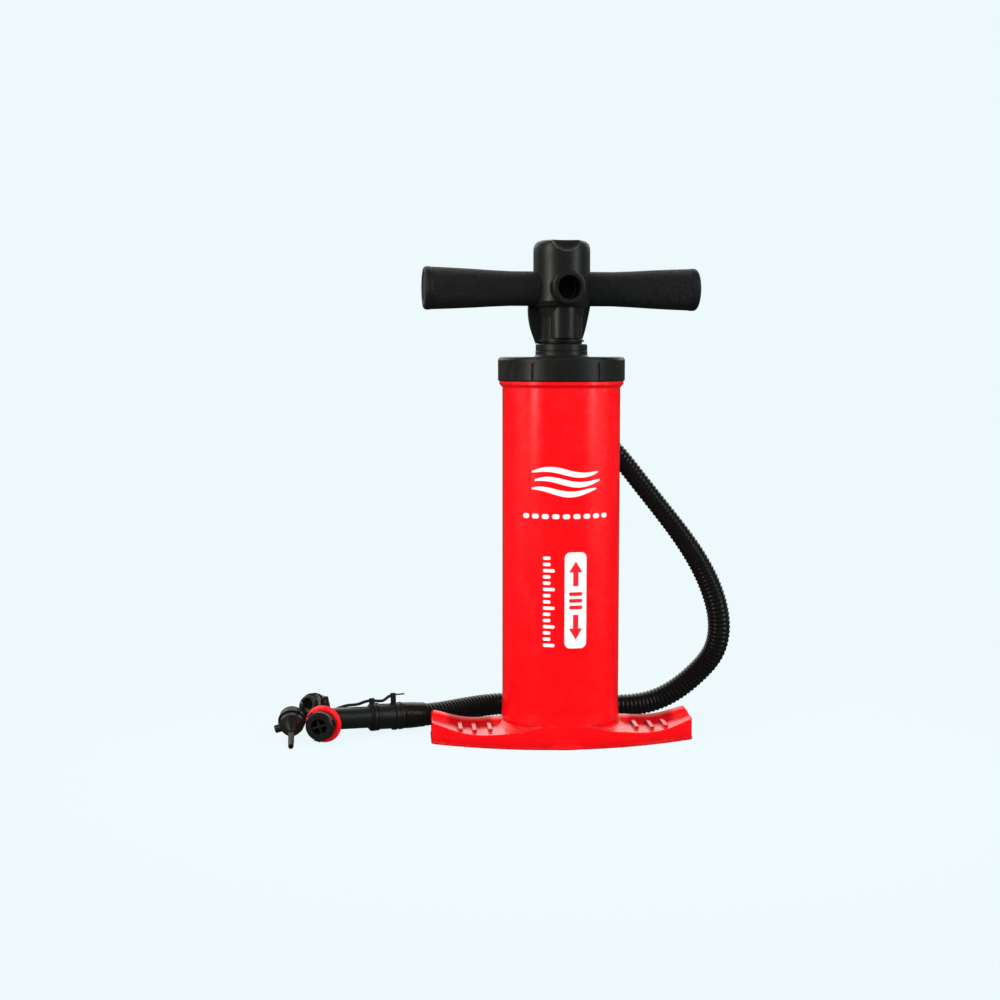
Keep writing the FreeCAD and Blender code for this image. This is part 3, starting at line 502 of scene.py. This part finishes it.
def build_grip(side, sign):
    """One turned sleeve on the handle's bar; sign is its direction along X."""
    profile = list(GRIP_INNER_END)
    profile += [(float(np.interp(x, FLARE_X, FLARE_RADIUS)), x, 1.0) for x in KNURL_STATIONS]
    profile += GRIP_COLLAR
    verts, uvs, mask = [], [], []
    for radius, x, knurled in profile:
        for j in range(GRIP_SEGMENTS + 1):
            angle = 2 * math.pi * j / GRIP_SEGMENTS
            point = Vector((sign * x, -radius * math.cos(angle), radius * math.sin(angle)))
            verts.append((point.x * MM, point.y * MM, point.z * MM))
            # the knurl's waves repeat every pi
            uvs.append((x * math.pi / DIAMOND_PITCH, angle * (DIAMONDS_ROUND / 2)))
            mask.append(knurled)
    # the last row joins the first, which makes the sleeve's inside
    faces = []
    row = GRIP_SEGMENTS + 1
    for i in range(len(profile)):
        a, b = i * row, (i + 1) % len(profile) * row
        for j in range(GRIP_SEGMENTS):
            faces.append((a + j, a + j + 1, b + j + 1, b + j))
    if sign < 0:
        faces = [face[::-1] for face in faces]
    grip = mesh_object(side + "_grip_textured", verts, faces, grip_rubber, uvs=uvs, mask=mask)

    # weld the seam, keeping the knurl coordinates on the face corners
    bm = bmesh.new()
    bm.from_mesh(grip.data)
    bmesh.ops.remove_doubles(bm, verts=bm.verts, dist=1e-7)
    bmesh.ops.recalc_face_normals(bm, faces=bm.faces)
    bm.to_mesh(grip.data)
    bm.free()
    mark_sharp(grip.data, 50)
    grip.data.transform(Matrix.Translation((0, 0, GRIP_Z)) @ Matrix.Rotation(HANDLE_TURN, 4, "Z"))
    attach(grip, "handle")
    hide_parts(side + "_grip")


build_grip("right", 1)
build_grip("left", -1)

# ------------------------------------------------------------------ prints on the barrel
# Outlines are (angle from the print's centre line in degrees, height in mm). Positive
# angles go to the right, as seen from the front.

UNROLL_RADIUS = 48.0
MM_PER_DEGREE = math.radians(1) * UNROLL_RADIUS
PRINT_RADIUS = 48.06
PRINT_OUT, PRINT_IN = 0.05, -0.10   # a print's outer and inner faces from its radius
PRINT_TURN = math.radians(2.0)      # the centre line lies this far left of the front
STRIP_WIDTH = 1.6
LABEL_LIFT = 0.06                   # of the shapes on top of the label


def add_print(name, outline, material, lift=0.0):
    """A thin printed shape: the outline filled and wrapped round the barrel."""
    flat = [Vector((angle * MM_PER_DEGREE, z, 0)) for angle, z in outline]
    bm = bmesh.new()
    verts = [bm.verts.new(point) for point in flat]
    for triangle in tessellate_polygon([flat]):
        try:
            bm.faces.new([verts[i] for i in triangle])
        except ValueError:
            # the filling gave a triangle twice, or one with a repeated corner
            pass
    # cut into narrow strips, so that the shape follows the curve
    cut = math.ceil(min(point.x for point in flat) / STRIP_WIDTH) * STRIP_WIDTH
    end = max(point.x for point in flat)
    while cut < end:
        bmesh.ops.bisect_plane(bm, geom=list(bm.verts) + list(bm.edges) + list(bm.faces),
                               plane_co=(cut, 0, 0), plane_no=(1, 0, 0))
        cut += STRIP_WIDTH
    bmesh.ops.dissolve_degenerate(bm, edges=list(bm.edges), dist=1e-4)
    extruded = bmesh.ops.extrude_face_region(bm, geom=list(bm.faces))["geom"]
    raised = {item for item in extruded if isinstance(item, bmesh.types.BMVert)}
    for vert in bm.verts:
        radius = (PRINT_RADIUS + lift + (PRINT_OUT if vert in raised else PRINT_IN)) * MM
        angle = vert.co.x / UNROLL_RADIUS - PRINT_TURN
        z = vert.co.y * MM
        vert.co = Vector((radius * math.sin(angle), -radius * math.cos(angle), z))
    bmesh.ops.recalc_face_normals(bm, faces=bm.faces)
    mesh = bpy.data.meshes.new(name)
    bm.to_mesh(mesh)
    bm.free()
    mesh.materials.append(material)
    obj = bpy.data.objects.new(name, mesh)
    scene.collection.objects.link(obj)
    smooth_all(mesh)
    mark_sharp(mesh, 40)
    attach(obj, "barrel")


def rounded(a0, a1, z0, z1, radius, steps=8):
    """Rectangle with rounded corners; the radius is in mm."""
    left, right = a0 * MM_PER_DEGREE + radius, a1 * MM_PER_DEGREE - radius
    low, high = z0 + radius, z1 - radius
    points = []
    for x, z, start in ((right, high, 0), (left, high, 90), (left, low, 180), (right, low, 270)):
        for i in range(steps + 1):
            t = math.radians(start + 90.0 * i / steps)
            points.append(((x + radius * math.cos(t)) / MM_PER_DEGREE, z + radius * math.sin(t)))
    return points


def wave(a0, a1, z_mid, phase, amplitude=2.3, thickness=4.6, steps=28):
    """One period of a sine band, thinner towards its ends."""
    upper, lower = [], []
    for i in range(steps + 1):
        t = i / steps
        angle = a0 + (a1 - a0) * t
        z = z_mid + amplitude * math.sin(2 * math.pi * t + phase)
        half = thickness * 0.5 * math.sin(math.pi * min(max(t, 0.02), 0.98)) ** 0.45
        upper.append((angle, z + half))
        lower.append((angle, z - half))
    return lower + upper[::-1]


def arrow(tail, tip, direction, middle=10.1, half_head=6.5, half_shaft=2.6):
    """Arrow between two heights; direction is 1 for up and -1 for down."""
    neck = tail + (tip - tail) * 0.55
    head, shaft = direction * half_head, direction * half_shaft
    return [(middle - shaft, tail), (middle + shaft, tail), (middle + shaft, neck),
            (middle + head, neck), (middle, tip), (middle - head, neck), (middle - shaft, neck)]


# three waves: start and end angle, middle height, phase
WAVES = [(-33, 33, 222.6, 0.0), (-30, 35, 215.0, 0.5), (-33, 31, 207.4, 1.0)]
for i, (start, end, height, phase) in enumerate(WAVES):
    add_print("print_wave_%d" % (i + 1), wave(start, end, height, phase), ink_white)

# row of dashes below the waves
for i in range(9):
    start = -43.0 + i * 10.1
    add_print("print_dash_%d" % i, rounded(start, start + 7.0, 185.6, 189.4, 1.8), ink_white)

# column of short bars on the left, every third one longer
for i in range(15):
    start, low = -21.5, 83.0 + i * 5.0
    width = 11.5 if i % 3 == 0 else 7.5
    add_print("print_tick_%d" % i, rounded(start, start + width, low, low + 2.6, 1.2), ink_white)

# white label on the right, with two arrows and three bars between them
add_print("print_label", rounded(-0.6, 20.8, 82.0, 159.0, 4.6), ink_white)
add_print("print_arrow_up", arrow(132.0, 152.0, 1), ink_red, LABEL_LIFT)
add_print("print_arrow_down", arrow(109.0, 89.0, -1), ink_red, LABEL_LIFT)
for i in range(3):
    rise = i * 5.4
    bar = rounded(3.6, 16.6, 113.4 + rise, 116.4 + rise, 1.3)
    add_print("print_bar_%d" % i, bar, ink_red, LABEL_LIFT)

# ------------------------------------------------------------------ smooth shading, CAD pieces
for node in NODES.values():
    smooth_all(node.data)
    mark_sharp(node.data, 32)

# ------------------------------------------------------------------ floor


def linear(color):
    """sRGB to linear."""
    return tuple(v / 12.92 if v <= 0.04045 else ((v + 0.055) / 1.055) ** 2.4 for v in color)


BACKDROP = rgba(linear((238 / 255, 249 / 255, 251 / 255)))
FLOOR_CELLS = 12
FLOOR_SIZE = 12
FLOOR_X, FLOOR_Y, FLOOR_Z = -6, -4, -0.0006


def floor_material():
    """Backdrop colour for the camera, much darker for all other rays."""
    material = bpy.data.materials.new("stage_floor")
    material.use_nodes = True
    tree = material.node_tree
    tree.nodes.clear()

    def emission(color):
        return add_node(tree, "ShaderNodeEmission", {"Color": color}).outputs[0]

    lit = add_node(tree, "ShaderNodeBsdfDiffuse", {"Color": BACKDROP}).outputs[0]
    # the lit part, which takes shadows, fades out away from the pump
    position = add_node(tree, "ShaderNodeNewGeometry").outputs["Position"]
    distance = add_node(tree, "ShaderNodeVectorMath", {0: position}, operation="LENGTH")
    fade = add_ramp(tree, distance.outputs["Value"], (0.12, 0.62), (0.94, 1.0))
    seen = mix_shaders(tree, fade, lit, emission(BACKDROP))
    path = add_node(tree, "ShaderNodeLightPath").outputs
    unseen = mix_shaders(tree, path["Is Glossy Ray"], emission((0.30, 0.31, 0.32, 1)),
                         emission((0.05, 0.055, 0.055, 1)))
    surface = mix_shaders(tree, path["Is Camera Ray"], unseen, seen)
    add_node(tree, "ShaderNodeOutputMaterial", {"Surface": surface})
    return material


def build_floor():
    row = FLOOR_CELLS + 1
    verts = [(FLOOR_X + FLOOR_SIZE * i / FLOOR_CELLS, FLOOR_Y + FLOOR_SIZE * j / FLOOR_CELLS,
              FLOOR_Z) for i in range(row) for j in range(row)]
    corners = [i * row + j for i in range(FLOOR_CELLS) for j in range(FLOOR_CELLS)]
    faces = [(a, a + row, a + row + 1, a + 1) for a in corners]
    mesh_object("stage_floor", verts, faces, floor_material(), smooth=False)


build_floor()

# ------------------------------------------------------------------ world


def build_world():
    world = bpy.data.worlds.new("studio")
    scene.world = world
    world.use_nodes = True
    tree = world.node_tree
    tree.nodes.clear()

    def background(color, strength):
        inputs = {"Color": color, "Strength": strength}
        return add_node(tree, "ShaderNodeBackground", inputs).outputs[0]

    path = add_node(tree, "ShaderNodeLightPath").outputs
    plain = mix_shaders(tree, path["Is Camera Ray"],
                        background((0.9, 0.95, 1.0, 1), 0.62), background(BACKDROP, 1.0))
    # glossy surfaces mirror a bright wall behind the pump (+Y), and near darkness elsewhere
    direction = add_node(tree, "ShaderNodeTexCoord").outputs["Generated"]
    axes = add_node(tree, "ShaderNodeSeparateXYZ", {0: direction}).outputs
    wall = add_math(tree, "MULTIPLY", add_ramp(tree, axes["Z"], (0.05, 0.22)),
                    add_ramp(tree, axes["Y"], (0.30, 0.75)))
    wall_gain, dark_level = 1.8, 0.018
    strength = add_math(tree, "MULTIPLY_ADD", wall, wall_gain, dark_level)
    mirrored = background((1.0, 0.97, 0.94, 1), strength)
    surface = mix_shaders(tree, path["Is Glossy Ray"], plain, mirrored)
    add_node(tree, "ShaderNodeOutputWorld", {"Surface": surface})


build_world()

# ------------------------------------------------------------------ lights


def softbox(name, azimuth, distance, z, size, power, target_z, color=(1, 1, 1), glossy=False):
    """Area light facing the barrel's axis at target_z.

    azimuth is in degrees from the camera's side, right positive; size is (width, height);
    glossy lets it show in reflections.
    """
    angle = math.radians(azimuth - CAMERA_AZIMUTH)
    place = Vector((math.sin(angle) * distance, -math.cos(angle) * distance, z))
    light = bpy.data.lights.new(name, "AREA")
    light.shape = "RECTANGLE"
    light.size, light.size_y = size
    light.energy = power
    light.color = color
    lamp = bpy.data.objects.new(name, light)
    lamp.location = place
    lamp.rotation_mode = "QUATERNION"
    lamp.rotation_quaternion = (place - Vector((0, 0, target_z))).to_track_quat("Z", "Y")
    scene.collection.objects.link(lamp)
    lamp.visible_camera = False
    lamp.visible_glossy = glossy


softbox("soft_left", azimuth=-52, distance=1.7, z=0.80, size=(0.36, 1.2), power=13.0,
        target_z=0.22, color=(1.0, 0.97, 0.88), glossy=True)
softbox("soft_right", azimuth=62, distance=1.7, z=0.80, size=(0.36, 1.2), power=8.0,
        target_z=0.22, color=(0.90, 1.0, 0.98), glossy=True)
softbox("soft_front", azimuth=6, distance=2.4, z=1.35, size=(2.4, 1.1), power=38, target_z=0.2)
softbox("soft_top", azimuth=20, distance=0.7, z=2.1, size=(1.6, 1.6), power=11, target_z=0.1)
for name, azimuth in (("fill_left", -82), ("fill_right", 82)):
    softbox(name, azimuth, distance=1.6, z=0.5, size=(0.8, 1.0), power=9, target_z=0.2)

# ------------------------------------------------------------------ camera and view

CAMERA_DISTANCE = 1.237
CAMERA_Z = 0.3127
# aim, per unit of level distance away from the camera
AIM_RIGHT = -0.0404
AIM_UP = -0.0942667


def build_camera():
    data = bpy.data.cameras.new("camera")
    camera = bpy.data.objects.new("camera", data)
    scene.collection.objects.link(camera)
    scene.camera = camera
    data.sensor_width = 36.0
    data.lens = 54.46
    data.clip_start, data.clip_end = 0.02, 40.0

    azimuth = math.radians(CAMERA_AZIMUTH)
    right = Vector((math.cos(azimuth), -math.sin(azimuth), 0))
    away = Vector((math.sin(azimuth), math.cos(azimuth), 0))
    up = Vector((0, 0, 1))
    camera.location = -away * CAMERA_DISTANCE + up * CAMERA_Z
    aim = (away + right * AIM_RIGHT + up * AIM_UP).normalized()
    side = aim.cross(up).normalized()
    top = side.cross(aim).normalized()
    camera.rotation_mode = "QUATERNION"
    camera.rotation_quaternion = Matrix((side, top, -aim)).transposed().to_quaternion()


build_camera()

scene.view_settings.view_transform = "Standard"
scene.view_settings.look = "None"
scene.view_settings.exposure = 0.0
